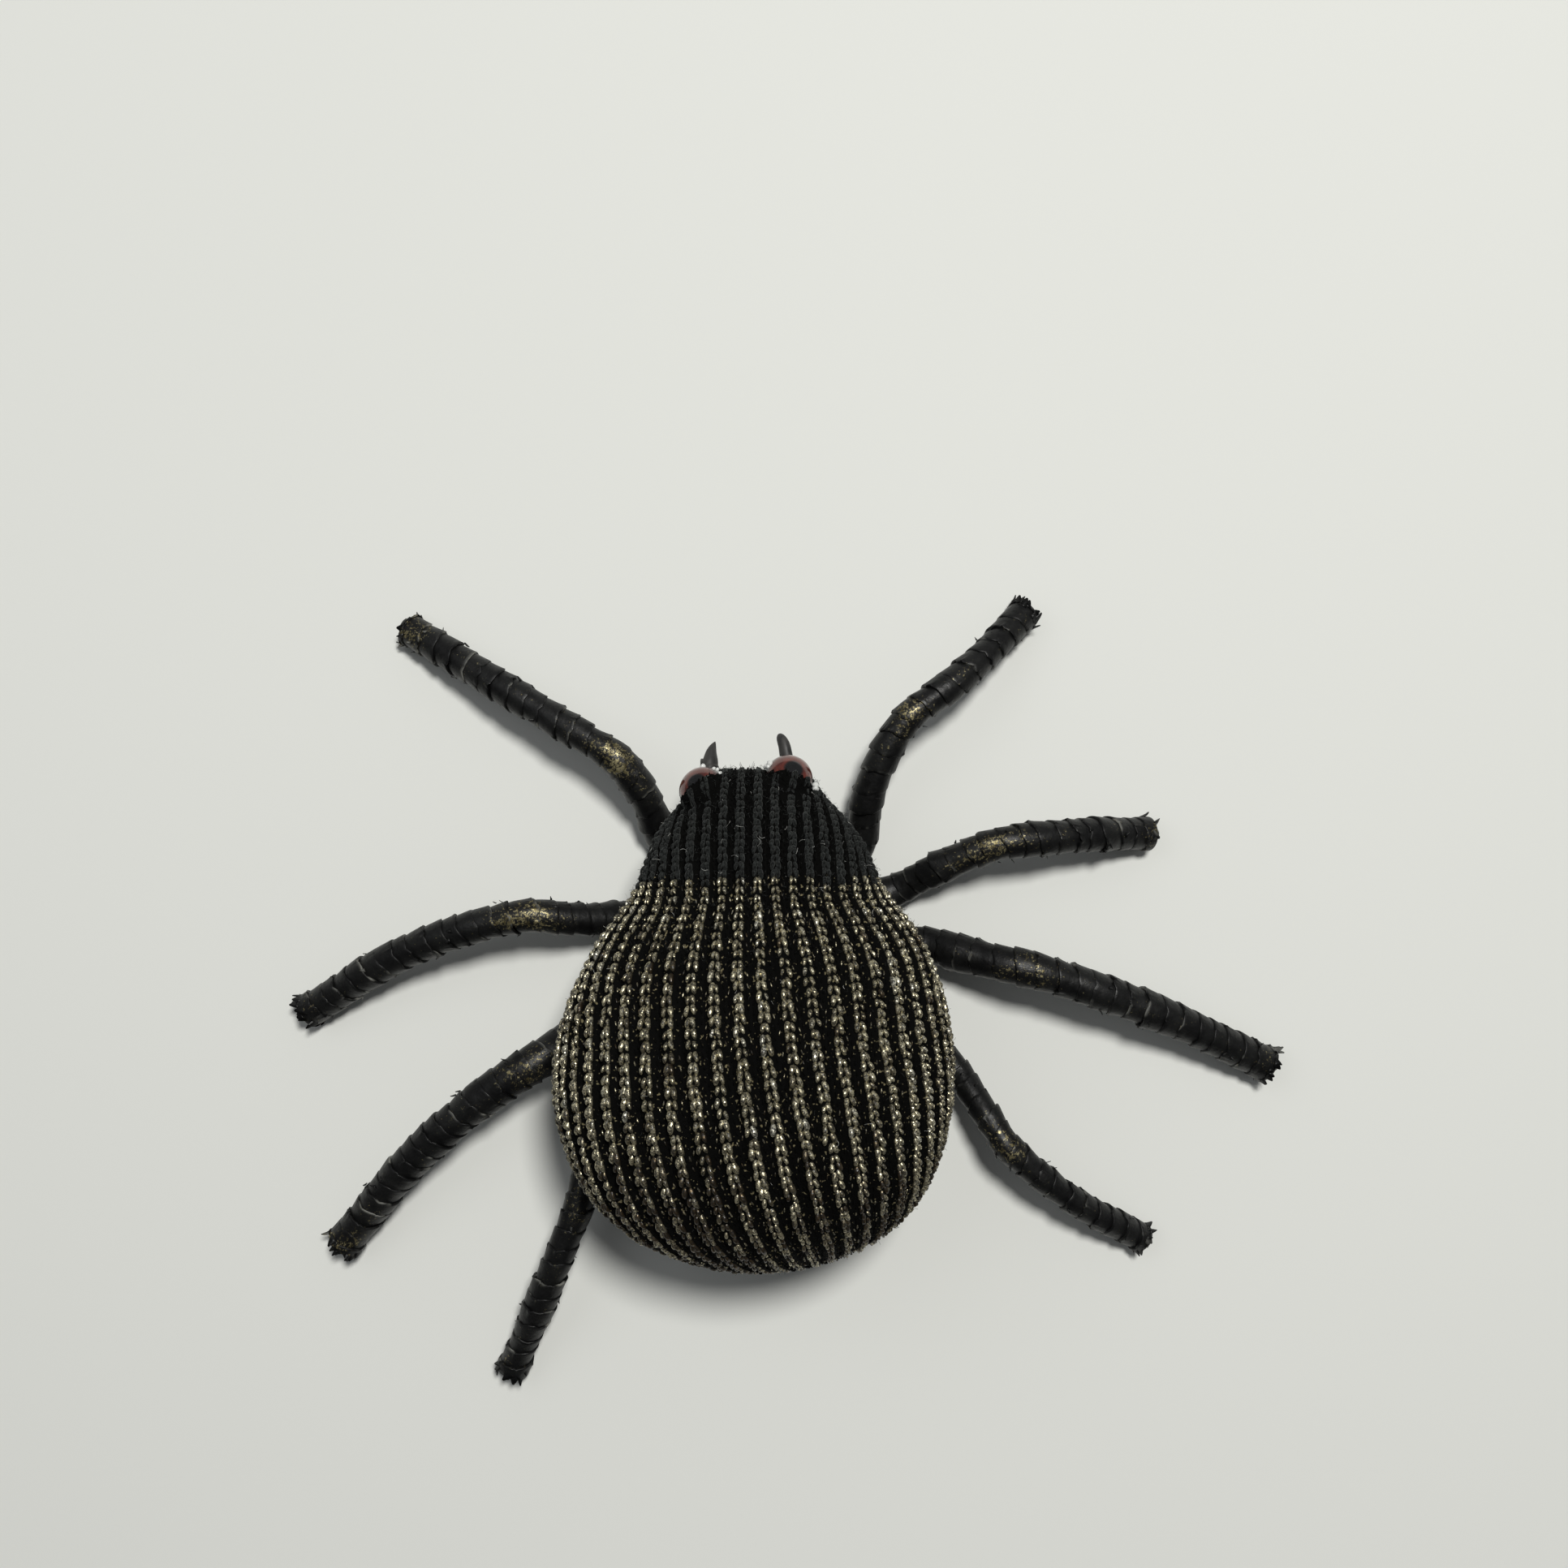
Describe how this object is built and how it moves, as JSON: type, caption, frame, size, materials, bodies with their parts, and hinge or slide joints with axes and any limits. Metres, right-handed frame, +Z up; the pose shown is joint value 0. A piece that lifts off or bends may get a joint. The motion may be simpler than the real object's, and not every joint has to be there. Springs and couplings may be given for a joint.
{
  "type": "stuffed toy spider",
  "caption": "Stuffed toy spider with a rib-knit body, domed doll eyes, small fangs and bendable wire legs wound with a leatherette strip.",
  "frame": {"origin": "on the table under the middle of the whole spider, legs included", "axes": "+Z up, +Y the way the head points, +X the spider's right"},
  "size_m": [0.148, 0.1177, 0.046],
  "materials": {
    "ribbed_knit": "rib-knit black yarn, its ribs shot with champagne metallic yarn over the abdomen",
    "stuffing_fill": "loose white polyester fill",
    "leatherette": "black, satin, cut in a narrow strip with raw edges, dabbed with gold paint",
    "leg_wire": "soft bendable craft wire",
    "thread": "black sewing thread",
    "clear_glue": "clear set glue",
    "eye_shell": "glossy translucent red-brown dome",
    "eye_back": "dark painted back with a black pupil",
    "fang_plastic": "charcoal, dull"
  },
  "bodies": {
    "spider_body": {"knit_cover": "ribbed_knit", "stuffing": "stuffing_fill", "closing_thread": "thread", "belly_patch": "leatherette", "hub_glue": "clear_glue", "eye_glue": "clear_glue", "left_eye_backing": "eye_back", "left_eye_dome": "eye_shell", "right_eye_backing": "eye_back", "right_eye_dome": "eye_shell", "left_fang": "fang_plastic", "right_fang": "fang_plastic", "left_front_root_wire": "leg_wire", "left_front_root_wrap": "leatherette", "left_second_root_wire": "leg_wire", "left_second_root_wrap": "leatherette", "left_third_root_wire": "leg_wire", "left_third_root_wrap": "leatherette", "left_hind_root_wire": "leg_wire", "left_hind_root_wrap": "leatherette", "right_front_root_wire": "leg_wire", "right_front_root_wrap": "leatherette", "right_second_root_wire": "leg_wire", "right_second_root_wrap": "leatherette", "right_third_root_wire": "leg_wire", "right_third_root_wrap": "leatherette", "right_hind_root_wire": "leg_wire", "right_hind_root_wrap": "leatherette"},
    "left_front_upper_leg": {"left_front_upper_wire": "leg_wire", "left_front_upper_wrap": "leatherette"},
    "left_front_lower_leg": {"left_front_lower_wire": "leg_wire", "left_front_lower_wrap": "leatherette"},
    "left_second_upper_leg": {"left_second_upper_wire": "leg_wire", "left_second_upper_wrap": "leatherette"},
    "left_second_lower_leg": {"left_second_lower_wire": "leg_wire", "left_second_lower_wrap": "leatherette"},
    "left_third_upper_leg": {"left_third_upper_wire": "leg_wire", "left_third_upper_wrap": "leatherette"},
    "left_third_lower_leg": {"left_third_lower_wire": "leg_wire", "left_third_lower_wrap": "leatherette"},
    "left_hind_upper_leg": {"left_hind_upper_wire": "leg_wire", "left_hind_upper_wrap": "leatherette"},
    "left_hind_lower_leg": {"left_hind_lower_wire": "leg_wire", "left_hind_lower_wrap": "leatherette"},
    "right_front_upper_leg": {"right_front_upper_wire": "leg_wire", "right_front_upper_wrap": "leatherette"},
    "right_front_lower_leg": {"right_front_lower_wire": "leg_wire", "right_front_lower_wrap": "leatherette"},
    "right_second_upper_leg": {"right_second_upper_wire": "leg_wire", "right_second_upper_wrap": "leatherette"},
    "right_second_lower_leg": {"right_second_lower_wire": "leg_wire", "right_second_lower_wrap": "leatherette"},
    "right_third_upper_leg": {"right_third_upper_wire": "leg_wire", "right_third_upper_wrap": "leatherette"},
    "right_third_lower_leg": {"right_third_lower_wire": "leg_wire", "right_third_lower_wrap": "leatherette"},
    "right_hind_upper_leg": {"right_hind_upper_wire": "leg_wire", "right_hind_upper_wrap": "leatherette"},
    "right_hind_lower_leg": {"right_hind_lower_wire": "leg_wire", "right_hind_lower_wrap": "leatherette"}
  },
  "joints": [
    {"name": "left_front_root_bend", "type": "hinge", "parent": "spider_body", "child": "left_front_upper_leg", "pos_m": [-0.0196, 0.0237, 0.0032], "axis": [0.8899, 0.4562, 0], "range_deg": [-20, 30]},
    {"name": "left_front_knee_bend", "type": "hinge", "parent": "left_front_upper_leg", "child": "left_front_lower_leg", "pos_m": [-0.0257, 0.0356, 0.0105], "axis": [0.5213, 0.8533, 0], "range_deg": [-45, 30]},
    {"name": "left_second_root_bend", "type": "hinge", "parent": "spider_body", "child": "left_second_upper_leg", "pos_m": [-0.0242, 0.0112, 0.0032], "axis": [0.0628, 0.998, 0], "range_deg": [-20, 30]},
    {"name": "left_second_knee_bend", "type": "hinge", "parent": "left_second_upper_leg", "child": "left_second_lower_leg", "pos_m": [-0.0385, 0.0121, 0.011], "axis": [-0.4099, 0.9121, 0], "range_deg": [-45, 30]},
    {"name": "left_third_root_bend", "type": "hinge", "parent": "spider_body", "child": "left_third_upper_leg", "pos_m": [-0.0292, -0.0051, 0.0032], "axis": [-0.5049, 0.8632, 0], "range_deg": [-20, 30]},
    {"name": "left_third_knee_bend", "type": "hinge", "parent": "left_third_upper_leg", "child": "left_third_lower_leg", "pos_m": [-0.0398, -0.0113, 0.0105], "axis": [-0.7004, 0.7138, 0], "range_deg": [-45, 30]},
    {"name": "left_hind_root_bend", "type": "hinge", "parent": "spider_body", "child": "left_hind_upper_leg", "pos_m": [-0.0289, -0.0216, 0.0032], "axis": [-0.9739, 0.2269, 0], "range_deg": [-20, 30]},
    {"name": "left_hind_knee_bend", "type": "hinge", "parent": "left_hind_upper_leg", "child": "left_hind_lower_leg", "pos_m": [-0.0313, -0.0319, 0.0095], "axis": [-0.9241, 0.382, 0], "range_deg": [-45, 30]},
    {"name": "right_front_root_bend", "type": "hinge", "parent": "spider_body", "child": "right_front_upper_leg", "pos_m": [0.0114, 0.0224, 0.0032], "axis": [0.9442, -0.3293, 0], "range_deg": [-20, 30]},
    {"name": "right_front_knee_bend", "type": "hinge", "parent": "right_front_upper_leg", "child": "right_front_lower_leg", "pos_m": [0.0182, 0.0419, 0.011], "axis": [0.6616, -0.7498, 0], "range_deg": [-45, 30]},
    {"name": "right_second_root_bend", "type": "hinge", "parent": "spider_body", "child": "right_second_upper_leg", "pos_m": [0.0174, 0.0156, 0.0032], "axis": [0.4497, -0.8932, 0], "range_deg": [-20, 30]},
    {"name": "right_second_knee_bend", "type": "hinge", "parent": "right_second_upper_leg", "child": "right_second_lower_leg", "pos_m": [0.0315, 0.0227, 0.0105], "axis": [0.0517, -0.9987, 0], "range_deg": [-45, 30]},
    {"name": "right_third_root_bend", "type": "hinge", "parent": "spider_body", "child": "right_third_upper_leg", "pos_m": [0.0217, 0.0069, 0.0032], "axis": [-0.2001, -0.9798, 0], "range_deg": [-20, 30]},
    {"name": "right_third_knee_bend", "type": "hinge", "parent": "right_third_upper_leg", "child": "right_third_lower_leg", "pos_m": [0.0359, 0.004, 0.0105], "axis": [-0.381, -0.9246, 0], "range_deg": [-45, 30]},
    {"name": "right_hind_root_bend", "type": "hinge", "parent": "spider_body", "child": "right_hind_upper_leg", "pos_m": [0.0261, -0.0123, 0.0032], "axis": [-0.8383, -0.5453, 0], "range_deg": [-20, 30]},
    {"name": "right_hind_knee_bend", "type": "hinge", "parent": "right_hind_upper_leg", "child": "right_hind_lower_leg", "pos_m": [0.0328, -0.0226, 0.0095], "axis": [-0.5779, -0.8161, 0], "range_deg": [-45, 30]}
  ]
}
